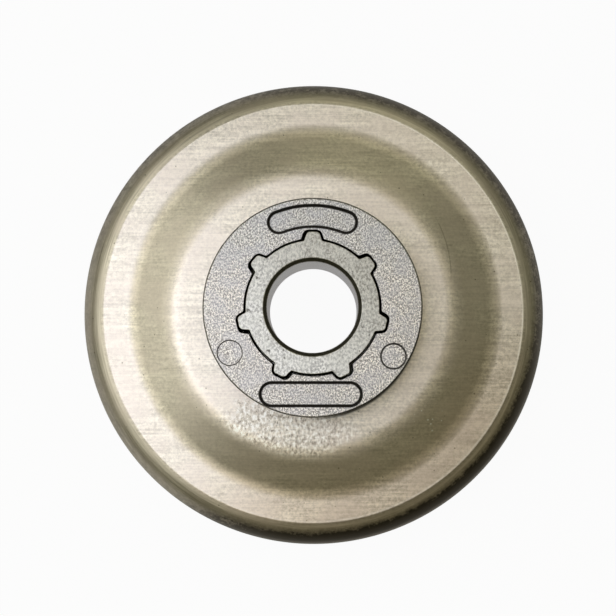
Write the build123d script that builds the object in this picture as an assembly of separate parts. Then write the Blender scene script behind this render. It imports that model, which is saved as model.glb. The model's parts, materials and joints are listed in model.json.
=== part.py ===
from build123d import *
import os
from math import atan2, cos, radians, sin, sqrt, tan

# A chainsaw clutch drum with a loose rim sprocket, lying open side down.
# Millimetres. The origin is the centre of the open edge, and +Z points out of the sprocket side.

# Drum cup, deep-drawn from one steel sheet; bend radii are those on the inside of each bend
drum_diameter = 70.0
sheet_thickness = 2.0
cup_depth = 18.0
corner_bend = 2.5
corner_break_angle = 14.0
outer_face_width = 4.3
step_run = 5.95
step_rise = 2.8
step_foot_bend = 5.6
step_crown_bend = 5.5
open_edge_chamfer = 0.4

# Splined hub, brazed into the web from inside the cup
bore_diameter = 13.0
bore_chamfer = 0.55
spline_count = 7
spline_root_diameter = 19.0
spline_height = 1.25
spline_base_width = 2.5
spline_tip_width = 1.7
spline_root_fillet = 0.3
spline_tip_fillet = 0.6
spline_turn = -0.6
journal_shoulder = 0.2
braze_gap = 0.05
flange_width = 2.0
flange_thickness = 1.4
hub_stand_out = 0.8

# Rim sprocket, loose on the splines
rim_diameter = 31.4
rim_width = 11.0
rim_edge_chamfer = 0.2
spline_clearance = 0.32
spline_side_clearance = 0.45
tooth_count = 7
pocket_width = 3.4
pocket_depth = 4.5
pocket_mouth_width = 9.8
pocket_slot_width = 3.0

# Bare recessed panels on the rim's face
panel_depth = 0.45
arch_panel_height = 3.15
arch_panel_half_angle = 21.5
arch_panel_margin = 1.05
bar_panel_length = 14.5
bar_panel_height = 3.4
bar_panel_margin = 0.45
bar_panel_shift = -0.25
mark_depth = 0.2
mark_diameter = 3.6
mark_margin = 0.45
mark_angle = 120.0
mark_turn = -1.2

# Radii and heights that several pieces share
drum_radius = drum_diameter / 2
rim_radius = rim_diameter / 2
bore_radius = bore_diameter / 2
spline_root_radius = spline_root_diameter / 2
spline_tip_radius = spline_root_radius + spline_height
journal_radius = spline_tip_radius + journal_shoulder
web_top = cup_depth + step_rise
web_underside = web_top - sheet_thickness
rim_top = web_top + rim_width
hub_top = rim_top + hub_stand_out
tooth_up = 90.0


def drum_cup():
    """Drawn cup as one revolved section: wall, rounded corner, outer ring, step and raised centre."""
    corner_radius = corner_bend + sheet_thickness
    corner_break = radians(corner_break_angle)
    corner_centre = (drum_radius - corner_radius, cup_depth - corner_radius * cos(corner_break))
    face_radius = drum_radius - corner_radius * (1 - sin(corner_break))
    foot_radius = face_radius - outer_face_width
    crown_radius = foot_radius - step_run
    hole_radius = journal_radius + braze_gap
    inner_radius = drum_radius - sheet_thickness
    inner_depth = cup_depth - sheet_thickness
    slope_shift = sheet_thickness * tan(atan2(step_rise, step_run) / 2)

    outer_wall = Line((drum_radius, open_edge_chamfer), (drum_radius, corner_centre[1]))
    outer_corner = CenterArc(corner_centre, corner_radius, 0, 90.0 - corner_break_angle)
    outer_face = FilletPolyline(
        outer_corner @ 1,
        (foot_radius, cup_depth),
        (crown_radius, web_top),
        (hole_radius, web_top),
        radius=[step_foot_bend, step_crown_bend + sheet_thickness],
    )
    inner_face = FilletPolyline(
        (hole_radius, web_underside),
        (crown_radius - slope_shift, web_underside),
        (foot_radius - slope_shift, inner_depth),
        (inner_radius, inner_depth),
        (inner_radius, open_edge_chamfer),
        radius=[step_crown_bend, step_foot_bend + sheet_thickness, corner_bend],
    )
    hole_wall = Line(outer_face @ 1, inner_face @ 0)
    open_edge = Polyline(
        inner_face @ 1,
        (inner_radius + open_edge_chamfer, 0),
        (drum_radius - open_edge_chamfer, 0),
        outer_wall @ 0,
    )
    section = make_face([outer_wall, outer_corner, outer_face, hole_wall, inner_face, open_edge])
    return revolve(Plane.XZ * section, Axis.Z)


def reach(corner):
    """Distance of a corner from the axis, rounded so that like corners group together."""
    return round(Vector(corner).length, 3)


def spline_section(clearance, side_clearance):
    """Outline of the splines, with a clearance round the roots and tips and another beside the teeth."""
    root_overlap = spline_height
    flank_lean = (spline_base_width - spline_tip_width) / 2 / spline_height
    root_radius = spline_root_radius + clearance
    tip_radius = spline_tip_radius + clearance
    buried_half_width = spline_base_width / 2 + root_overlap * flank_lean + side_clearance
    tip_half_width = spline_tip_width / 2 - clearance * flank_lean + side_clearance
    tooth = Polygon(
        (spline_root_radius - root_overlap, -buried_half_width),
        (tip_radius, -tip_half_width),
        (tip_radius, tip_half_width),
        (spline_root_radius - root_overlap, buried_half_width),
        align=None,
    )
    section = Circle(root_radius) + PolarLocations(0, spline_count, tooth_up) * tooth
    section = fillet(section.vertices().group_by(reach)[-1], spline_tip_fillet + clearance)
    return fillet(section.vertices().group_by(reach)[0], spline_root_fillet)


def splined_hub():
    """Hub with a flange and journal in the web, spline teeth above it and a chamfered bearing bore."""
    flange_radius = journal_radius + flange_width
    flange_bottom = web_underside - flange_thickness
    turned_section = Rot(0, 0, spline_turn) * spline_section(0, 0)
    splines = extrude(Pos(0, 0, web_top) * turned_section, hub_top - web_top)
    flanged_journal = make_face(
        Polyline(
            (0, flange_bottom),
            (flange_radius, flange_bottom),
            (flange_radius, web_underside),
            (journal_radius, web_underside),
            (journal_radius, web_top),
            (0, web_top),
            close=True,
        )
    )
    bore = make_face(
        Polyline(
            (0, flange_bottom),
            (bore_radius + bore_chamfer, flange_bottom),
            (bore_radius, flange_bottom + bore_chamfer),
            (bore_radius, hub_top - bore_chamfer),
            (bore_radius + bore_chamfer, hub_top),
            (0, hub_top),
            close=True,
        )
    )
    return splines + revolve(Plane.XZ * flanged_journal, Axis.Z) - revolve(Plane.XZ * bore, Axis.Z)


def drive_link_pocket():
    """Window for one drive link along +X: a slot at the splined hole that flares to the rim's outside."""
    half_slot = pocket_slot_width / 2
    half_mouth = pocket_mouth_width / 2
    mouth_reach = sqrt(rim_radius**2 - half_mouth**2)
    inner_end = spline_root_radius - spline_height
    outer_end = rim_radius + pocket_depth
    slot_side = Polyline((inner_end, 0), (inner_end, half_slot), (rim_radius - pocket_depth, half_slot))
    flank = TangentArc(slot_side @ 1, (mouth_reach, half_mouth), tangent=slot_side % 1)
    lip = Polyline(flank @ 1, (outer_end, half_mouth), (outer_end, 0), slot_side @ 0)
    half_outline = make_face([slot_side, flank, lip])
    outline = half_outline + mirror(half_outline, Plane.XZ)
    return Pos(0, 0, web_top + rim_width / 2) * extrude(outline, pocket_width / 2, both=True)


def rim_sprocket():
    """Rim with a grooved hole, drive-link pockets between its teeth and bare recessed panels on its face."""
    blank = extrude(Pos(0, 0, web_top) * Circle(rim_radius), rim_width)
    blank = chamfer(blank.edges().filter_by(GeomType.CIRCLE), rim_edge_chamfer)
    grooves = spline_section(spline_clearance, spline_side_clearance)
    rim = blank - extrude(Pos(0, 0, web_top) * grooves, rim_width)

    land_middle = tooth_up + 180.0 / spline_count
    rim -= PolarLocations(0, tooth_count, land_middle) * drive_link_pocket()

    face = Pos(0, 0, rim_top)
    arch_radius = rim_radius - arch_panel_margin - arch_panel_height / 2
    arch_line = CenterArc((0, 0), arch_radius, tooth_up - arch_panel_half_angle, 2 * arch_panel_half_angle)
    bar_end_reach = rim_radius - bar_panel_margin - bar_panel_height / 2
    bar_drop = sqrt(bar_end_reach**2 - ((bar_panel_length - bar_panel_height) / 2) ** 2)
    rim -= extrude(face * SlotArc(arch_line, arch_panel_height), -panel_depth)
    bar_place = Pos(bar_panel_shift, -bar_drop)
    rim -= extrude(face * bar_place * SlotOverall(bar_panel_length, bar_panel_height), -panel_depth)

    mark_reach = rim_radius - mark_margin - mark_diameter / 2
    for side in (-mark_angle, mark_angle):
        place = Rot(0, 0, tooth_up + side + mark_turn) * Pos(mark_reach, 0)
        rim -= extrude(face * place * Circle(mark_diameter / 2), -mark_depth)
    return rim


os.makedirs("parts", exist_ok=True)
export_step(drum_cup(), "parts/drum_cup.step")
export_step(splined_hub(), "parts/splined_hub.step")
export_step(rim_sprocket(), "parts/rim_sprocket.step")
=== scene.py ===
import bmesh
import bpy
import json
from math import asin, atan2, ceil, cos, pi, radians, sin, sqrt, tan
from mathutils import Matrix, Vector


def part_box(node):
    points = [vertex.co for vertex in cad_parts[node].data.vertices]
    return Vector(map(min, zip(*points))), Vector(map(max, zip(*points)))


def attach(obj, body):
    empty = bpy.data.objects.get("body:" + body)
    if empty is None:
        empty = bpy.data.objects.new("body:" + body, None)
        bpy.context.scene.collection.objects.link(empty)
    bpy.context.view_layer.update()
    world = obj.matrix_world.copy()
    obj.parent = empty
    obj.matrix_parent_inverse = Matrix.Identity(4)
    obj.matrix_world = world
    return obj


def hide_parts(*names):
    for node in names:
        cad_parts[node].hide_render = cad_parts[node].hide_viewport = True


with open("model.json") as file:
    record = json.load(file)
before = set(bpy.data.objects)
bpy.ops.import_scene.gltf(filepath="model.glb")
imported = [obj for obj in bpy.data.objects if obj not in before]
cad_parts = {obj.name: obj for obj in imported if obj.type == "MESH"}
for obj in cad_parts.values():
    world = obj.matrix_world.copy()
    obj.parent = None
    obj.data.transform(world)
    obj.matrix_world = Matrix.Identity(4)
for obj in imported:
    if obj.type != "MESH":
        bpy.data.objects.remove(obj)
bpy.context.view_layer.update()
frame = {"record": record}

# Drum cup
# One steel sheet, deep-drawn to a cup: a rounded corner, a flat ring and a step up to the raised centre.
# Bare straw-coloured steel: straight rolling grain on the flats, brown drawing marks round the corner.
MM = 0.001
ARC_STEP = radians(4)
SEAM_MERGE = 0.001 * MM
DOUBLES_MERGE = 0.0005 * MM


class Wire:
    """A socket of a node tree. Arithmetic on it adds Math nodes, and node() adds any other node."""

    def __init__(self, tree, socket=None):
        self.tree = tree
        self.socket = socket

    def node(self, kind, settings=None, inputs=None, output=0):
        """Adds a node, makes its settings, fills or links its sockets and gives back one output."""
        made = self.tree.nodes.new(kind)
        for name, value in (settings or {}).items():
            if name == "stops":
                elements = made.color_ramp.elements
                while len(elements) < len(value):
                    elements.new(1.0)
                for element, (position, shade) in zip(elements, value):
                    element.position = position
                    element.color = (shade, shade, shade, 1.0)
            else:
                setattr(made, name, value)
        for name, value in (inputs or {}).items():
            for item in value if isinstance(value, list) else [value]:
                if isinstance(item, Wire):
                    self.tree.links.new(item.socket, made.inputs[name])
                else:
                    made.inputs[name].default_value = item
        return Wire(self.tree, made.outputs[output] if made.outputs else None)

    def math(self, operation, *values):
        return self.node("ShaderNodeMath", {"operation": operation}, dict(enumerate(values)))

    def __add__(self, other):
        return self.math("ADD", self, other)

    def __sub__(self, other):
        return self.math("SUBTRACT", self, other)

    def __rsub__(self, other):
        return self.math("SUBTRACT", other, self)

    def __mul__(self, other):
        return self.math("MULTIPLY", self, other)

    def __truediv__(self, other):
        return self.math("DIVIDE", self, other)

    def __abs__(self):
        return self.math("ABSOLUTE", self)

    __radd__ = __add__
    __rmul__ = __mul__


def rounded(corners):
    """Closed outline through corners (x, y, radius), each turned on an arc of its radius."""
    outline = []
    for here, (x, y, radius) in enumerate(corners):
        corner = Vector((x, y))
        back = (Vector(corners[here - 1][:2]) - corner).normalized()
        onward = (Vector(corners[(here + 1) % len(corners)][:2]) - corner).normalized()
        half_angle = back.angle(onward) / 2
        centre = corner + (back + onward).normalized() * radius / sin(half_angle)
        spoke = corner + back * radius / tan(half_angle) - centre
        turn = pi - 2 * half_angle
        if back.cross(onward) > 0:
            turn = -turn
        steps = ceil(abs(turn) / ARC_STEP)
        for step in range(steps + 1):
            angle = turn * step / steps
            outline.append(centre + Vector((spoke.x * cos(angle) - spoke.y * sin(angle),
                                            spoke.x * sin(angle) + spoke.y * cos(angle))))
    return outline


def mesh_object(name, vertices, edges=(), faces=()):
    mesh = bpy.data.meshes.new(name)
    mesh.from_pydata(vertices, edges, faces)
    made = bpy.data.objects.new(name, mesh)
    bpy.context.scene.collection.objects.link(made)
    return made


def section_line(name, rows):
    """Closed section for turning: rows of (radius, height, how much of the tooth height is added)."""
    loop = [*rows, rows[0]]
    line = mesh_object(name, [(radius, 0, height) for radius, height, _ in loop],
                       [(row, row + 1) for row in range(len(rows))])
    toothed = line.data.attributes.new("toothed", "FLOAT", "POINT")
    toothed.data.foreach_set("value", [row[2] for row in loop])
    return line


def new_tree(name, inputs):
    tree = bpy.data.node_groups.new(name, "GeometryNodeTree")
    for label, kind in inputs:
        tree.interface.new_socket(label, in_out="INPUT", socket_type=kind)
    tree.interface.new_socket("Piece", in_out="OUTPUT", socket_type="NodeSocketGeometry")
    entry = tree.nodes.new("NodeGroupInput")
    return tree, {label: Wire(tree, entry.outputs[label]) for label, kind in inputs}


def end_tree(tree, piece, merge, finish):
    """Last steps of a tree: closed seams, real instances and the finish."""
    piece = piece.node("GeometryNodeMergeByDistance", None, {"Geometry": piece, "Distance": merge})
    piece = piece.node("GeometryNodeRealizeInstances", None, {"Geometry": piece})
    piece = piece.node("GeometryNodeSetMaterial", None, {"Geometry": piece, "Material": finish})
    tree.links.new(piece.socket, tree.nodes.new("NodeGroupOutput").inputs["Piece"])


def turning_tree():
    """Turns a section round the Z axis. Rows marked toothed follow one tooth's pitch outline, repeated."""
    tree, given = new_tree("turned on the axis", [
        ("Section", "NodeSocketGeometry"), ("Pitch outline", "NodeSocketObject"),
        ("Teeth", "NodeSocketInt"), ("First tooth", "NodeSocketFloat"), ("Finish", "NodeSocketMaterial")])
    start = Wire(tree)
    outline = start.node("GeometryNodeObjectInfo", None, {"Object": given["Pitch outline"]}, "Geometry")

    def point_count(geometry):
        return start.node("GeometryNodeAttributeDomainSize", None, {"Geometry": geometry}, "Point Count")

    rows = point_count(given["Section"])
    pitch_columns = point_count(outline)
    sheet = start.node("GeometryNodeMeshGrid", None,
                       {"Vertices X": given["Teeth"] * pitch_columns + 1, "Vertices Y": rows}, "Mesh")
    index = start.node("GeometryNodeInputIndex")
    place = start.node("GeometryNodeInputPosition")
    column = start.math("FLOOR", (index + 0.5) / rows)
    row = index - column * rows
    tooth = start.math("FLOOR", (column + 0.5) / pitch_columns)
    step = column - tooth * pitch_columns

    def sampled(source, field, at, kind):
        return start.node("GeometryNodeSampleIndex", {"data_type": kind},
                          {"Geometry": source, "Value": field, "Index": at})

    toothed = start.node("GeometryNodeInputNamedAttribute", {"data_type": "FLOAT"}, {"Name": "toothed"})
    section_place = sampled(given["Section"], place, row, "FLOAT_VECTOR")
    section_tooth = sampled(given["Section"], toothed, row, "FLOAT")
    pitch_place = sampled(outline, place, step, "FLOAT_VECTOR")

    def part(point, axis):
        return start.node("ShaderNodeSeparateXYZ", None, {0: point}, axis)

    angle = part(pitch_place, "X") + tooth * (2 * pi) / given["Teeth"] + given["First tooth"]
    radius = part(section_place, "X") + section_tooth * part(pitch_place, "Y")
    turned = start.node("ShaderNodeCombineXYZ", None, {
        "X": radius * start.math("COSINE", angle),
        "Y": radius * start.math("SINE", angle),
        "Z": part(section_place, "Z")})
    piece = start.node("GeometryNodeSetPosition", None, {"Geometry": sheet, "Position": turned})
    end_tree(tree, piece, SEAM_MERGE, given["Finish"])
    return tree


def add_tree(piece, tree, values):
    modifier = piece.modifiers.new(tree.name, "NODES")
    modifier.node_group = tree
    for item in tree.interface.items_tree:
        if item.name in values:
            modifier[item.identifier] = values[item.name]


def finish_mesh(piece, helpers):
    """Keeps what the modifiers made as a plain mesh with outward faces, and removes the helper objects."""
    made = bpy.data.meshes.new_from_object(piece.evaluated_get(bpy.context.evaluated_depsgraph_get()))
    piece.modifiers.clear()
    piece.data = made
    for helper in helpers:
        bpy.data.objects.remove(helper)
    shell = bmesh.new()
    shell.from_mesh(made)
    bmesh.ops.remove_doubles(shell, verts=shell.verts, dist=DOUBLES_MERGE)
    bmesh.ops.recalc_face_normals(shell, faces=shell.faces)
    shell.to_mesh(made)
    shell.free()
    made.shade_smooth()


cup_low, cup_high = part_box("drum_cup")
drum_radius = cup_high.x
web_top = cup_high.z
sheet_thickness = 2.0 * MM
step_rise = 2.8 * MM
step_run = 5.95 * MM
step_foot_round = 5.6 * MM
step_crown_round = 7.5 * MM
outer_face_width = 4.3 * MM
corner_radius = 4.5 * MM
outer_corner_round = 0.94 * corner_radius
inner_corner_radius = 2.5 * MM
corner_break = radians(14)
hole_radius = 11.0 * MM
face_height = web_top - step_rise
crease_radius = drum_radius - corner_radius * (1 - sin(corner_break))
foot_radius = crease_radius - outer_face_width
crown_radius = foot_radius - step_run
slope_shift = sheet_thickness * tan(atan2(step_rise, step_run) / 2)
inner_radius = drum_radius - sheet_thickness
corner_axis = drum_radius - corner_radius
corner_level = face_height - corner_radius * cos(corner_break)
crease_round = 0.8 * MM
edge_round = 0.35 * MM
cup_columns = 270

cup_section = rounded([
    (drum_radius, cup_low.z, edge_round),
    (drum_radius, face_height - (drum_radius - crease_radius) * tan(corner_break), outer_corner_round),
    (crease_radius, face_height, crease_round),
    (foot_radius, face_height, step_foot_round),
    (crown_radius, web_top, step_crown_round),
    (hole_radius, web_top, edge_round / 2),
    (hole_radius, web_top - sheet_thickness, edge_round / 2),
    (crown_radius - slope_shift, web_top - sheet_thickness, step_crown_round - sheet_thickness),
    (foot_radius - slope_shift, face_height - sheet_thickness, step_foot_round + sheet_thickness),
    (inner_radius, face_height - sheet_thickness, inner_corner_radius),
    (inner_radius, cup_low.z, edge_round),
])

# Where the steel was rubbed, scratched and soiled and where glints are painted, in millimetres, and towards
# which side painted shade and shadow fall
rough_patch_centre = (-4.5, -18.0)
rough_patch_reach = (10.5, 6.0)
rough_patch_end = (20.8, 22.4)
glint_centre = (17.0, -16.1)
glint_reach = (2.6, 1.7)
scratch_centre = (2.19, 5.28)
scratch_radius = 18.37
scratch_ends = (4.9, 13.8)
shade_heading = (0.47, -0.88)
shade_ring = (14.0, 30.5)
shadow_heading = (0.72, -0.69)
sprocket_shadow_ring = (15.9, 16.3)

# Tarnish round the corner, from the flat ring at 0 to the wall at 1
tarnish_stops = [(0.22, 0.0), (0.35, 0.20), (0.52, 0.58), (0.74, 0.80), (0.98, 0.65)]

# Colours of the drawn steel, of its marks, of what lies on it, and of painted shade, shadow, sheen and
# highlights
grain_dark = (0.405, 0.357, 0.280, 1)
grain_light = (0.900, 0.818, 0.664, 1)
straw_cloud = (0.68, 0.59, 0.49, 1)
patch_bright = (0.98, 0.95, 0.86, 1)
patch_dark = (0.20, 0.17, 0.13, 1)
# Painted sheen on the step's bends, and painted shade on the shaded side of the flats
bend_painted_sheen = (1.22, 1.21, 1.18, 1)
shaded_side_painted_shade = (0.85, 0.79, 0.72, 1)
# Soil and painted shade past the crease, and the crease's painted highlight
crease_soil_and_shade = (0.20, 0.17, 0.12, 1)
crease_highlight = (0.90, 0.84, 0.70, 1)
# Tarnish, turned black on the shaded side by painted shade
brown_tarnish = (0.120, 0.104, 0.085, 1)
black_tarnish_and_shade = (0.032, 0.025, 0.015, 1)
# Painted glints
glint_highlight = (0.98, 0.95, 0.88, 1)
scratch_dark = (0.16, 0.13, 0.08, 1)
pit_dark = (0.10, 0.08, 0.05, 1)
# Painted shadow beside the sprocket
painted_shadow_black = (0.03, 0.025, 0.018, 1)


def new_finish(name):
    finish = bpy.data.materials.new(name)
    finish.use_nodes = True
    finish.node_tree.nodes.clear()
    return finish, Wire(finish.node_tree)


def place_in_mm(start):
    """Object coordinates in millimetres: the vector, its x, y and z, and the distance from the axis."""
    spot = start.node("ShaderNodeTexCoord", None, None, "Object")
    spot = start.node("ShaderNodeVectorMath", {"operation": "SCALE"}, {0: spot, "Scale": 1 / MM})
    x, y, z = (start.node("ShaderNodeSeparateXYZ", None, {0: spot}, axis) for axis in "XYZ")
    return spot, x, y, z, distance(x, y)


def distance(x, y):
    return x.math("SQRT", x * x + y * y)


def facing(x, y, radius, heading):
    """One at places that lie along the heading from the axis, and minus one opposite."""
    return (x * heading[0] + y * heading[1]) / radius


def ramp(value, low, high, to_low=0.0, to_high=1.0):
    """Smooth step of a value from low to high."""
    return value.node("ShaderNodeMapRange", {"interpolation_type": "SMOOTHSTEP"}, {
        "Value": value, "From Min": low, "From Max": high, "To Min": to_low, "To Max": to_high})


def fade(value, low, high):
    """Smooth step down from one at low to zero at high."""
    return ramp(value, low, high, 1.0, 0.0)


def line_mask(away, half_width, soft):
    """One on a line, by the distance from it, and zero beside it."""
    return fade(abs(away), half_width - soft, half_width + soft)


def noise(spot, scale, detail, roughness):
    return spot.node("ShaderNodeTexNoise", None, {
        "Vector": spot, "Scale": scale, "Detail": detail, "Roughness": roughness})


def specks(spot, spacing, size, share):
    """Small round spots in the given share of cells that are spacing apart."""
    inputs = {"Vector": spot, "Scale": 1 / spacing}
    away = spot.node("ShaderNodeTexVoronoi", None, inputs, "Distance")
    draw = spot.node("ShaderNodeTexVoronoi", None, inputs, "Color")
    drawn = spot.math("LESS_THAN", spot.node("ShaderNodeSeparateColor", None, {0: draw}), share)
    return drawn * fade(away, 0.6 * size / spacing, size / spacing)


def vector(start, x, y, z):
    return start.node("ShaderNodeCombineXYZ", None, {"X": x, "Y": y, "Z": z})


def mix(factor, first, second, blend="MIX"):
    return factor.node("ShaderNodeMix", {"data_type": "RGBA", "blend_type": blend},
                       {0: factor, 6: first, 7: second}, 2)


def metal_surface(start, colour, roughness, relief, relief_strength, relief_depth):
    """Bare metal with a fine relief."""
    bump = start.node("ShaderNodeBump", None, {
        "Strength": relief_strength, "Distance": relief_depth, "Height": relief})
    metal = start.node("ShaderNodeBsdfPrincipled", None, {
        "Base Color": colour, "Metallic": 1.0, "Roughness": roughness, "Normal": bump})
    start.node("ShaderNodeOutputMaterial", None, {"Surface": metal})


def drawn_steel():
    finish, start = new_finish("drawn steel")
    spot, x, y, z, radius = place_in_mm(start)
    face_z = face_height / MM
    web_z = web_top / MM
    corner_z = corner_level / MM

    # Round the corner, turn goes from 0 on the flat ring to 1 on the wall
    over = start.math("MAXIMUM", radius - corner_axis / MM, 0.0)
    up = start.math("MAXIMUM", z - corner_z, 0.0)
    turn = start.math("ARCTAN2", over, up) / (pi / 2)
    outside = ramp(distance(over, up), 0.7 * corner_radius / MM, 0.9 * corner_radius / MM)
    on_corner = ramp(turn, 0.16, 0.26)
    # The side turned away from the light, where shade and shadow are painted on
    shade_side = ramp(facing(x, y, radius, shade_heading), 0.35, 0.95)

    # Rolling grain along x, weaker on the step, and drawing marks round the corner
    fine_grain = noise(vector(start, x * 0.16, y * 3.6, z * 0.8), 1.0, 3.0, 0.6)
    broad_grain = noise(vector(start, x * 0.05, y * 0.9, z * 0.4), 1.0, 3.0, 0.6)
    dapple = noise(spot, 2.2, 4.0, 0.7)
    on_slope = ramp(z, face_z + 0.1, face_z + 0.7) * fade(z, web_z - 0.7, web_z - 0.1)
    grain = fine_grain * 0.3 + broad_grain * 0.2 + dapple * 0.5
    grain = (grain - 0.5) * (1 - on_slope * 0.35) + 0.5
    marks = noise(vector(start, x / radius * 4, y / radius * 4, (z - radius) * 3.0), 1.0, 4.0, 0.6)
    streak = grain * (1 - on_corner) + (marks * 0.6 + 0.2) * on_corner
    cloud = noise(spot, 0.16, 3.0, 0.55)
    mottle = noise(spot, 0.7, 4.0, 0.65)
    speckle = noise(vector(start, x * 2.3, y * 1.5, z), 1.0, 4.0, 0.75)

    def irregular_area(centre, reach):
        away = distance((x - centre[0]) / reach[0], (y - centre[1]) / reach[1])
        return fade(away + (mottle - 0.5) * 1.2, 0.7, 1.1)

    # Rough patch, painted glints, scratch and pits
    patch = irregular_area(rough_patch_centre, rough_patch_reach) * fade(radius, *rough_patch_end)
    glints = irregular_area(glint_centre, glint_reach) * specks(spot, 0.7, 0.17, 0.55)
    scratch_away = distance(x - scratch_centre[0], y - scratch_centre[1]) - scratch_radius
    scratch = line_mask(scratch_away, 0.07, 0.05) * ramp(x, 0.0, 1.0) * ramp(mottle, 0.3, 0.5)
    scratch = scratch * ramp(y, scratch_ends[0] - 0.6, scratch_ends[0] + 0.6)
    scratch = scratch * fade(y, scratch_ends[1] - 0.6, scratch_ends[1] + 0.6)
    pits = specks(spot, 1.6, 0.14, 0.5)

    # Bends: a painted highlight along the crease, soil and painted shade just past it on the shaded side, a
    # painted sheen on the step's foot and crown, and a painted shadow beside the sprocket
    crease_away = radius - crease_radius / MM + 0.05 + shade_side * 0.15
    crease_painted_highlight = line_mask(crease_away, 0.14, 0.08) * outside * (1 - shade_side * 0.6)
    crease_painted_highlight = crease_painted_highlight * ramp(mottle, 0.3, 0.6, 0.3, 0.8) * ramp(x / radius, -0.9, 0.9)
    soil_and_shade = ramp(crease_away, 0.06, 0.2) * (1 - on_corner) * shade_side * outside
    foot_painted_sheen = line_mask(radius - foot_radius / MM + 0.2, 0.55, 0.5)
    crown_painted_sheen = line_mask(radius - crown_radius / MM + 0.5, 0.5, 0.45)
    sprocket_painted_shadow = ramp(radius, *sprocket_shadow_ring, 0.95, 0.0)
    sprocket_painted_shadow = sprocket_painted_shadow * ramp(facing(x, y, radius, shadow_heading), 0.6, 0.9)

    # Blotchy tarnish, heavier towards the right and top and thinner down the wall, with painted shade that
    # makes it heavier and blacker on the shaded side
    tarnish_and_shade = start.node("ShaderNodeValToRGB", {"stops": tarnish_stops}, {0: turn})
    tarnish_and_shade_share = 0.64 + ramp(x / radius, -0.6, 0.3) * 0.75 + ramp(y / radius, 0.0, 0.8) * 0.45
    tarnish_and_shade_share = tarnish_and_shade_share + shade_side * 2.0
    blotches = ramp(mottle * 0.35 + dapple * 0.4 + marks * 0.25, 0.4, 0.6, 0.6, 1.15)
    tarnish_and_shade = start.math("MINIMUM", tarnish_and_shade * tarnish_and_shade_share * blotches * outside, 0.96)
    tarnish_and_shade = tarnish_and_shade * (1 - shade_side * ramp(turn, 0.62, 0.8) * 0.2)
    tarnish_and_shade = tarnish_and_shade * ramp(z, corner_z - 5.5, corner_z + 0.5, 0.3, 1.0)

    steel = mix(ramp(streak, 0.32, 0.68), grain_dark, grain_light)
    steel = mix(ramp(cloud, 0.35, 0.65) * 0.5, steel, straw_cloud)
    steel = mix(patch * ramp(speckle, 0.46, 0.62, 0.0, 0.95), steel, patch_bright)
    steel = mix(patch * ramp(speckle, 0.36, 0.46, 0.8, 0.0), steel, patch_dark)
    # Mixed in below: painted sheen on the bends, painted shade on the shaded side, soil and painted shade
    # past the crease, tarnish with painted shade, painted highlights and a painted shadow
    steel = mix((foot_painted_sheen + crown_painted_sheen) * 0.6, steel, bend_painted_sheen, "MULTIPLY")
    steel = mix(shade_side * ramp(radius, *shade_ring), steel, shaded_side_painted_shade, "MULTIPLY")
    steel = mix(soil_and_shade * 0.6, steel, crease_soil_and_shade)
    steel = mix(tarnish_and_shade, steel, mix(shade_side, brown_tarnish, black_tarnish_and_shade))
    steel = mix(crease_painted_highlight, steel, crease_highlight)
    steel = mix(glints * 0.85, steel, glint_highlight)
    steel = mix(scratch * 0.4, steel, scratch_dark)
    steel = mix(pits * 0.65, steel, pit_dark)
    steel = mix(sprocket_painted_shadow, steel, painted_shadow_black)
    roughness = ramp(streak, 0.3, 0.7, 0.33, 0.39) + patch * 0.08 + tarnish_and_shade * 0.1
    relief = streak + patch * speckle * 1.2 - pits * 2.0 - scratch
    metal_surface(start, steel, roughness, relief, 0.2, 0.02 * MM)
    return finish


drum_cup = section_line("drum_cup_drawn", [(*point, 0.0) for point in cup_section])
one_column = mesh_object("cup_pitch", [(0, 0, 0)])
turned_tree = turning_tree()
add_tree(drum_cup, turned_tree, {
    "Pitch outline": one_column, "Teeth": cup_columns, "First tooth": 0.0, "Finish": drawn_steel()})
finish_mesh(drum_cup, [one_column])
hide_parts("drum_cup")
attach(drum_cup, "drum")

# Splined hub
# One turned hub with seven spline teeth, a flange under the web and a chamfered needle-bearing bore.
# It is brazed into the cup from inside. Its end face is clean, its teeth are painted black for the shade in
# the gap to the rim, and its bore chamfer is painted near black.
hub_low, hub_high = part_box("splined_hub")
flange_radius = hub_high.x
bore_radius = next(mount for mount in frame["record"]["mounts"]
                   if mount["name"] == "bearing_bore")["dims"]["r_mm"] * MM
spline_count = 7
spline_root_radius = 9.5 * MM
spline_height = 1.25 * MM
spline_base_width = 2.5 * MM
spline_tip_width = 1.7 * MM
spline_root_round = 0.3 * MM
spline_tip_round = 0.6 * MM
journal_radius = 10.95 * MM
flange_top = web_top - sheet_thickness
bore_chamfer = 0.55 * MM
tooth_up = pi / 2
spline_turn = radians(-0.6)
hub_edge_round = 0.08 * MM
hub_nick_places = [(-9.13, -0.45), (-7.85, 4.15), (-6.2, -6.2)]
# The end face gets darker towards the top and right
hub_darkening_heading = (0.6, 0.75)
hub_darkening_span = (-9.0, 10.0)
hub_grain_dark = (0.345, 0.328, 0.290, 1)
hub_grain_light = (0.85, 0.82, 0.742, 1)
hub_darker_tone = (0.69, 0.68, 0.64, 1)
hub_cloud = (0.60, 0.58, 0.50, 1)
hub_pit_dark = (0.10, 0.09, 0.075, 1)
bore_polish = (0.90, 0.88, 0.86, 1)
# Bore chamfer painted near black, and teeth painted black as shade in the gap to the rim
chamfer_black = (0.060, 0.055, 0.042, 1)
tooth_gap_shade = (0.020, 0.018, 0.013, 1)


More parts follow.
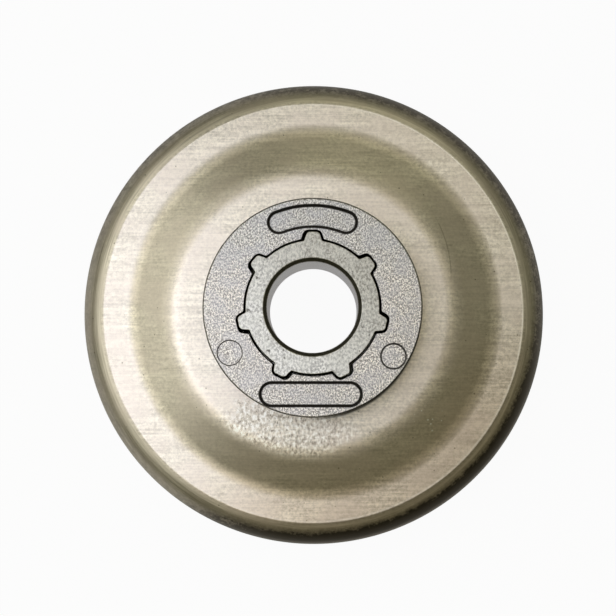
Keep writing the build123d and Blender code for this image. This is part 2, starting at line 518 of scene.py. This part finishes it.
def spline_pitch(name, clearance, side_clearance):
    """One tooth with half a land at each side, as points of angle (x) and height over the root (y)."""
    root = spline_root_radius + clearance
    tip = root + spline_height
    lean = atan2((spline_base_width - spline_tip_width) / 2, spline_height)
    half_base = spline_base_width / 2 + side_clearance
    half_tip = half_base - (tip - spline_root_radius) * tan(lean)
    half_pitch = pi / spline_count
    land_end = asin(half_base / root) + 2 * spline_root_round / root
    base_reach = root - (half_base + spline_root_radius * tan(lean)) * sin(land_end)
    base_reach = base_reach / (cos(land_end) - tan(lean) * sin(land_end))
    base_side = half_base - (base_reach - spline_root_radius) * tan(lean)
    land_corner = root / cos(half_pitch - land_end)
    corners = []
    for tooth in range(spline_count):
        turn = Matrix.Rotation(2 * half_pitch * tooth, 2)
        for reach, side, rounding in [
                (base_reach, -base_side, spline_root_round),
                (tip, -half_tip, spline_tip_round + clearance),
                (tip, half_tip, spline_tip_round + clearance),
                (base_reach, base_side, spline_root_round),
                (land_corner * cos(half_pitch), land_corner * sin(half_pitch), root)]:
            corners.append((*(turn @ Vector((reach, side))), rounding))
    polar = [(atan2(point.y, point.x), point.length - root) for point in rounded(corners)]
    slack = 1e-6
    pitch = sorted(point for point in polar if -half_pitch - slack < point[0] < half_pitch - slack)
    return mesh_object(name, [(angle, height, 0) for angle, height in pitch])


def hub_steel():
    finish, start = new_finish("hub steel")
    spot, x, y, z, radius = place_in_mm(start)
    top = hub_high.z / MM
    web_z = web_top / MM
    root = spline_root_radius / MM
    bore = bore_radius / MM
    chamfer_end = bore + bore_chamfer / MM

    grain = noise(vector(start, x * 3.4, y * 2.4, z * 3.0), 1.0, 3.0, 0.7)
    cloud = noise(spot, 0.5, 2.0, 0.5)
    pits = specks(spot, 1.1, 0.17, 0.55)
    nick = sum(fade(distance(x - nick_x, y - nick_y) + (grain - 0.5) * 0.9, 0.12, 0.3)
               for nick_x, nick_y in hub_nick_places)
    below_face = fade(z, top - 0.07, top - 0.02)
    # Teeth flanks in the gap to the rim, painted black as shade
    on_teeth = below_face * ramp(z, web_z, web_z + 0.2) * ramp(radius, root - 0.3, root - 0.1)
    on_chamfer = below_face * ramp(z, top - 0.7, top - 0.6)
    on_chamfer = on_chamfer * ramp(radius, bore + 0.03, bore + 0.12)
    on_chamfer = on_chamfer * fade(radius, chamfer_end + 0.15, chamfer_end + 0.25)
    in_bore = fade(radius, bore + 0.02, bore + 0.1)
    # Darker towards the top and right of the end face
    up_right_darkening = ramp(x * hub_darkening_heading[0] + y * hub_darkening_heading[1], *hub_darkening_span)

    steel = mix(ramp(grain, 0.36, 0.64), hub_grain_dark, hub_grain_light)
    steel = mix(up_right_darkening, steel, hub_darker_tone, "MULTIPLY")
    steel = mix(ramp(cloud, 0.4, 0.6) * 0.3, steel, hub_cloud)
    steel = mix(in_bore * 0.9, steel, bore_polish)
    steel = mix(start.math("MAXIMUM", pits * 0.7, nick * 0.85), steel, hub_pit_dark)
    steel = mix(on_chamfer * 0.9, steel, chamfer_black)
    steel = mix(on_teeth * 0.95, steel, tooth_gap_shade)
    roughness = ramp(grain, 0.3, 0.7, 0.36, 0.44) - in_bore * 0.2
    relief = grain - pits * 2.0 - nick * 2.0
    metal_surface(start, steel, roughness, relief, 0.15, 0.02 * MM)
    return finish


def break_edges(piece, width):
    """Small rounded edges, with the faces between them shaded flat."""
    bevel = piece.modifiers.new("edges", "BEVEL")
    bevel.width = width
    bevel.segments = 2
    bevel.limit_method = "ANGLE"
    bevel.angle_limit = radians(35)
    bevel.use_clamp_overlap = False
    bevel.harden_normals = True


splined_hub = section_line("splined_hub_turned", [
    (flange_radius, hub_low.z, 0),
    (flange_radius, flange_top, 0),
    (journal_radius, flange_top, 0),
    (journal_radius, web_top, 0),
    (spline_root_radius, web_top, 1),
    (spline_root_radius, hub_high.z, 1),
    (bore_radius + bore_chamfer, hub_high.z, 0),
    (bore_radius, hub_high.z - bore_chamfer, 0),
    (bore_radius, hub_low.z + bore_chamfer, 0),
    (bore_radius + bore_chamfer, hub_low.z, 0),
])
hub_pitch = spline_pitch("hub_pitch", 0.0, 0.0)
add_tree(splined_hub, turned_tree, {
    "Pitch outline": hub_pitch, "Teeth": spline_count, "First tooth": tooth_up + spline_turn,
    "Finish": hub_steel()})
finish_mesh(splined_hub, [hub_pitch])
break_edges(splined_hub, hub_edge_round)
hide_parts("splined_hub")
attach(splined_hub, "drum")

# Rim sprocket
# One sintered ring, loose on the splines, with seven drive-link pockets between its teeth.
# Its face is grainy, and its bare recessed panels have dark edges of oil and painted shade; painted shade
# darkens its splined hole and outer edge.
rim_low, rim_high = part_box("rim_sprocket")
rim_radius = rim_high.x
rim_edge_chamfer = 0.2 * MM
spline_clearance = 0.32 * MM
spline_side_clearance = 0.45 * MM
pocket_count = 7
pocket_width = 3.4 * MM
pocket_depth = 4.5 * MM
half_mouth = 4.9 * MM
half_slot = 1.5 * MM
panel_depth = 0.45 * MM
arch_half_angle = radians(21.5)
arch_half_height = 1.575 * MM
arch_margin = 1.05 * MM
arch_radius = rim_radius - arch_margin - arch_half_height
bar_half_height = 1.7 * MM
bar_half_reach = 5.55 * MM
bar_margin = 0.45 * MM
bar_shift = -0.25 * MM
bar_drop = sqrt((rim_radius - bar_margin - bar_half_height) ** 2 - bar_half_reach**2)
mark_radius = 1.8 * MM
mark_margin = 0.45 * MM
mark_reach = rim_radius - mark_margin - mark_radius
mark_depth = 0.2 * MM
mark_angles = (radians(-31.2), radians(208.8))
mark_centres = [(mark_reach * cos(angle), mark_reach * sin(angle)) for angle in mark_angles]
mark_line_half_widths = (0.14, 0.08)
rim_edge_round = 0.06 * MM
CUT_MERGE = 0.004 * MM
# Painted shade in the gap at the splined hole
hole_gap_shade_ring = (11.4, 11.6)
top_darkening_span = (2.0, 11.0)
sinter_dark = (0.23, 0.210, 0.181, 1)
sinter_light = (0.99, 0.92, 0.81, 1)
sinter_cloud = (0.48, 0.462, 0.470, 1)
sinter_top_darkening = (0.885, 0.905, 0.92, 1)
panel_dark = (0.30, 0.29, 0.27, 1)
# Painted shade on the outer edge, and oil with painted shade on the outlines
rim_edge_painted_shade = (0.04, 0.035, 0.028, 1)
oil_and_shade_black = (0.016, 0.014, 0.011, 1)


def arc(centre, radius, start, end, steps):
    return [(centre[0] + radius * cos(start + (end - start) * step / steps),
             centre[1] + radius * sin(start + (end - start) * step / steps)) for step in range(steps + 1)]


def prism(shell, outline, low, high):
    """Adds a closed upright prism on an outline to a mesh."""
    bottom = [shell.verts.new((x, y, low)) for x, y in outline]
    top = [shell.verts.new((x, y, high)) for x, y in outline]
    shell.faces.new(bottom[::-1])
    shell.faces.new(top)
    for here in range(len(outline)):
        shell.faces.new((bottom[here - 1], bottom[here], top[here], top[here - 1]))


def cutter(name, prisms):
    shell = bmesh.new()
    for outline, low, high in prisms:
        prism(shell, outline, low, high)
    bmesh.ops.recalc_face_normals(shell, faces=shell.faces)
    made = mesh_object(name, [])
    shell.to_mesh(made.data)
    shell.free()
    return made


def pocket_outline():
    """Slot at the splined hole that flares on an arc to the outside, pointing along +X."""
    mouth = sqrt(rim_radius**2 - half_mouth**2)
    neck = rim_radius - pocket_depth
    flare = ((mouth - neck) ** 2 + (half_mouth - half_slot) ** 2) / (2 * (half_mouth - half_slot))
    end = atan2(half_mouth - half_slot - flare, mouth - neck)
    side = arc((neck, half_slot + flare), flare, -pi / 2, end, 12)
    inner_end = (spline_root_radius - spline_height, half_slot)
    outer_end = (rim_radius + pocket_depth, half_mouth)
    upper = [inner_end, *side, outer_end]
    return [(x, -y) for x, y in upper] + upper[::-1]


def arch_outline():
    half = arch_half_height
    left = tooth_up + arch_half_angle
    right = tooth_up - arch_half_angle
    left_end, right_end = [(arch_radius * cos(side), arch_radius * sin(side)) for side in (left, right)]
    return (arc((0, 0), arch_radius + half, right, left, 16)[:-1]
            + arc(left_end, half, left, left + pi, 16)[:-1]
            + arc((0, 0), arch_radius - half, left, right, 16)[:-1]
            + arc(right_end, half, right + pi, right + 2 * pi, 16)[:-1])


def bar_outline():
    return (arc((bar_shift + bar_half_reach, -bar_drop), bar_half_height, -pi / 2, pi / 2, 20)
            + arc((bar_shift - bar_half_reach, -bar_drop), bar_half_height, pi / 2, 3 * pi / 2, 20))


def cutting_tree():
    """Cuts a ring of like pockets and a set of face recesses out of a blank."""
    tree, given = new_tree("pockets and recesses", [
        ("Blank", "NodeSocketGeometry"), ("Pocket", "NodeSocketObject"), ("Pockets", "NodeSocketInt"),
        ("First pocket", "NodeSocketFloat"), ("Recesses", "NodeSocketObject"),
        ("Finish", "NodeSocketMaterial")])
    start = Wire(tree)
    pocket = start.node("GeometryNodeObjectInfo", None, {"Object": given["Pocket"]}, "Geometry")
    recesses = start.node("GeometryNodeObjectInfo", None, {"Object": given["Recesses"]}, "Geometry")
    places = start.node("GeometryNodeMeshLine", None, {"Count": given["Pockets"], "Offset": (0, 0, 0)})
    angle = start.node("GeometryNodeInputIndex") * (2 * pi) / given["Pockets"] + given["First pocket"]
    pockets = start.node("GeometryNodeInstanceOnPoints", None, {
        "Points": places, "Instance": pocket, "Rotation": vector(start, 0, 0, angle)})
    pockets = start.node("GeometryNodeRealizeInstances", None, {"Geometry": pockets})
    piece = start.node("GeometryNodeMeshBoolean", {"operation": "DIFFERENCE", "solver": "EXACT"},
                       {"Mesh 1": given["Blank"], "Mesh 2": [pockets, recesses]}, "Mesh")
    end_tree(tree, piece, CUT_MERGE, given["Finish"])
    return tree


def sintered_steel():
    finish, start = new_finish("sintered steel")
    spot, x, y, z, radius = place_in_mm(start)
    top = rim_high.z / MM
    panel_z = top - panel_depth / MM
    edge = rim_radius / MM

    grain = noise(vector(start, x * 5.0, y * 3.6, z * 4.5), 1.0, 2.0, 0.75)
    cloud = noise(spot, 0.35, 3.0, 0.6)
    wander = (noise(spot, 1.6, 3.0, 0.6) - 0.5) * 0.25

    # How far a place lies outside the outline of the arched or the straight panel
    arch_turn = start.node("ShaderNodeClamp", None, {
        "Value": start.math("ARCTAN2", x, y), "Min": -arch_half_angle, "Max": arch_half_angle})
    arch_x = x - start.math("SINE", arch_turn) * (arch_radius / MM)
    arch_y = y - start.math("COSINE", arch_turn) * (arch_radius / MM)
    arch_away = distance(arch_x, arch_y) - arch_half_height / MM
    bar_x = start.node("ShaderNodeClamp", None, {
        "Value": x, "Min": (bar_shift - bar_half_reach) / MM, "Max": (bar_shift + bar_half_reach) / MM})
    bar_away = distance(x - bar_x, y + bar_drop / MM) - bar_half_height / MM
    panel_away = start.math("MINIMUM", arch_away, bar_away)
    in_panel = fade(panel_away, -0.1, 0.0)

    # Oil and painted shade along the outlines of the panels and marks, painted shade in the gap at the
    # splined hole, and painted shade on the outer edge
    on_top = ramp(z, panel_z - 0.15, panel_z - 0.05)
    below_face = fade(z, top - 0.06, top - 0.01)
    oil_and_shade = line_mask(panel_away + 0.05 + wander * 0.3, 0.23, 0.08)
    for (centre_x, centre_y), half_width in zip(mark_centres, mark_line_half_widths):
        mark_away = distance(x - centre_x / MM, y - centre_y / MM) - mark_radius / MM
        oil_and_shade = start.math("MAXIMUM", oil_and_shade, line_mask(mark_away + 0.02, half_width, 0.06) * 0.9)
    in_hole = below_face * ramp(radius, *hole_gap_shade_ring, 0.95, 0.0) * (1 - in_panel)
    oil_and_shade = start.math("MAXIMUM", oil_and_shade * on_top, in_hole)
    # Painted shade on the outer edge's chamfer, and a painted shadow line on its shaded side
    on_rim = below_face * ramp(radius, edge - 0.25, edge - 0.15)
    rim_shadow_line = ramp(radius, edge - 0.28, edge - 0.18) * ramp(z, top - 0.4, top - 0.3)
    rim_shadow_line = rim_shadow_line * ramp(facing(x, y, radius, shadow_heading), 0.5, 0.95)

    steel = mix(ramp(grain, 0.40, 0.63), sinter_dark, sinter_light)
    steel = mix(ramp(cloud, 0.38, 0.62) * 0.32, steel, sinter_cloud)
    # Darker and a little cooler towards the top
    steel = mix(ramp(y, *top_darkening_span), steel, sinter_top_darkening, "MULTIPLY")
    steel = mix(in_panel * on_top * 0.12, steel, panel_dark)
    steel = mix(start.math("MAXIMUM", on_rim * 0.7, rim_shadow_line * 0.97), steel, rim_edge_painted_shade)
    steel = mix(oil_and_shade, steel, oil_and_shade_black)
    metal_surface(start, steel, ramp(grain, 0.3, 0.7, 0.34, 0.46), grain, 0.5, 0.03 * MM)
    return finish


rim_sprocket = section_line("rim_sprocket_sintered", [
    (rim_radius - rim_edge_chamfer, rim_low.z, 0),
    (rim_radius, rim_low.z + rim_edge_chamfer, 0),
    (rim_radius, rim_high.z - rim_edge_chamfer, 0),
    (rim_radius - rim_edge_chamfer, rim_high.z, 0),
    (spline_root_radius + spline_clearance, rim_high.z, 1),
    (spline_root_radius + spline_clearance, rim_low.z, 1),
])
rim_pitch = spline_pitch("rim_pitch", spline_clearance, spline_side_clearance)
sintered = sintered_steel()
add_tree(rim_sprocket, turned_tree, {
    "Pitch outline": rim_pitch, "Teeth": spline_count, "First tooth": tooth_up, "Finish": sintered})
finish_mesh(rim_sprocket, [rim_pitch])
rim_middle = (rim_low.z + rim_high.z) / 2
pocket_low = rim_middle - pocket_width / 2
pocket_high = rim_middle + pocket_width / 2
pocket = cutter("pocket", [(pocket_outline(), pocket_low, pocket_high)])
above = rim_high.z + 1.0 * MM
panel_floor = rim_high.z - panel_depth
mark_floor = rim_high.z - mark_depth
recesses = cutter("recesses", [
    (arch_outline(), panel_floor, above),
    (bar_outline(), panel_floor, above),
    *[(arc(centre, mark_radius, 0, 2 * pi, 48)[:-1], mark_floor, above) for centre in mark_centres],
])
add_tree(rim_sprocket, cutting_tree(), {
    "Pocket": pocket, "Pockets": pocket_count, "First pocket": tooth_up + pi / pocket_count,
    "Recesses": recesses, "Finish": sintered})
finish_mesh(rim_sprocket, [pocket, recesses])
break_edges(rim_sprocket, rim_edge_round)
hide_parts("rim_sprocket")
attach(rim_sprocket, "rim")

# Floor, light and camera
# A plain white floor under soft studio light from above left. The camera looks almost straight down.
floor_reach = 1.2
floor_corners = [(-floor_reach, -floor_reach, 0), (floor_reach, -floor_reach, 0),
                 (floor_reach, floor_reach, 0), (-floor_reach, floor_reach, 0)]
floor = mesh_object("floor", floor_corners, (), [(0, 1, 2, 3)])

# How much of the floor is plain white: seen by the camera, mirrored in the metal, and a painted pool of
# light under the bore, seen only in mirrors
seen_white = 0.95
mirrored_white = 0.15
bore_mirror_light = 0.12
bore_light_ring = (8.0, 14.0)
floor_finish, start = new_finish("white floor")
seen = start.node("ShaderNodeLightPath", None, None, "Is Camera Ray")
mirrored = (start.node("ShaderNodeLightPath", None, None, "Is Glossy Ray")
            + start.node("ShaderNodeLightPath", None, None, "Is Transmission Ray"))
*_, from_axis = place_in_mm(start)
mirrored_share = mirrored_white + fade(from_axis, *bore_light_ring) * bore_mirror_light
white_share = seen * seen_white + mirrored * mirrored_share
lit = start.node("ShaderNodeBsdfDiffuse", None, {"Color": (0.85, 0.85, 0.85, 1)})
white = start.node("ShaderNodeEmission", None, {"Color": (1, 1, 1, 1), "Strength": 1.0})
start.node("ShaderNodeOutputMaterial", None, {
    "Surface": start.node("ShaderNodeMixShader", None, {0: white_share, 1: lit, 2: white})})
floor.data.materials.append(floor_finish)

sky_heading = (-0.12, 0.2, 0.8)
low_sky = (0.116, 0.115, 0.056, 1)
high_sky = (0.30, 0.298, 0.240, 1)
world = bpy.data.worlds.new("studio")
world.use_nodes = True
world.node_tree.nodes.clear()
bpy.context.scene.world = world
start = Wire(world.node_tree)
heading = start.node("ShaderNodeTexCoord", None, None, "Generated")
heading = start.node("ShaderNodeVectorMath", {"operation": "DOT_PRODUCT"},
                     {0: heading, 1: sky_heading}, "Value")
sky = mix(ramp(heading, -0.3, 0.9), low_sky, high_sky)
sky = mix(start.node("ShaderNodeLightPath", None, None, "Is Camera Ray"), sky, (1, 1, 1, 1))
background = start.node("ShaderNodeBackground", None, {"Color": sky})
start.node("ShaderNodeOutputWorld", None, {"Surface": background})

LAMP_DISTANCE = 0.6


def softbox(name, tilt, azimuth, width, height, level, tint):
    """Soft lamp on a dome: degrees from the zenith and round it, size, brightness and tint."""
    tilt, azimuth = radians(tilt), radians(azimuth)
    toward = Vector((sin(tilt) * cos(azimuth), sin(tilt) * sin(azimuth), cos(tilt)))
    lamp = bpy.data.lights.new(name, "AREA")
    lamp.shape = "RECTANGLE"
    lamp.size = width
    lamp.size_y = height
    lamp.energy = level * pi * width * height
    lamp.color = tint
    made = bpy.data.objects.new(name, lamp)
    made.location = toward * LAMP_DISTANCE + Vector((0, 0, face_height))
    made.rotation_euler = toward.to_track_quat("Z", "Y").to_euler()
    bpy.context.scene.collection.objects.link(made)


softbox("key above left", 14, 177, 0.25, 0.25, 2.55, (0.94, 1.0, 1.23))
softbox("overhead", 13, 55, 0.18, 0.18, 0.8, (1.0, 0.96, 0.88))
softbox("left side", 46, 175, 0.80, 0.40, 0.79, (0.99, 1.02, 0.99))
softbox("near side", 24, 240, 0.16, 0.16, 1.2, (1.02, 0.97, 0.86))
softbox("far side", 48, 75, 0.40, 0.25, 0.26, (1.0, 1.0, 0.72))

camera_distance = 0.2436
camera = bpy.data.objects.new("camera", bpy.data.cameras.new("camera"))
camera.data.lens = 100
camera.data.sensor_width = 36
aim = Vector((-0.64 * MM, -0.10 * MM, rim_high.z))
away = Vector((0.0105, -0.0532, 1.0)).normalized()
image_right = Vector((0, 1, 0)).cross(away).normalized()
image_up = away.cross(image_right)
camera.matrix_world = Matrix((image_right, image_up, away)).transposed().to_4x4()
camera.location = aim + away * camera_distance
bpy.context.scene.collection.objects.link(camera)
bpy.context.scene.camera = camera
bpy.context.scene.view_settings.view_transform = "Standard"
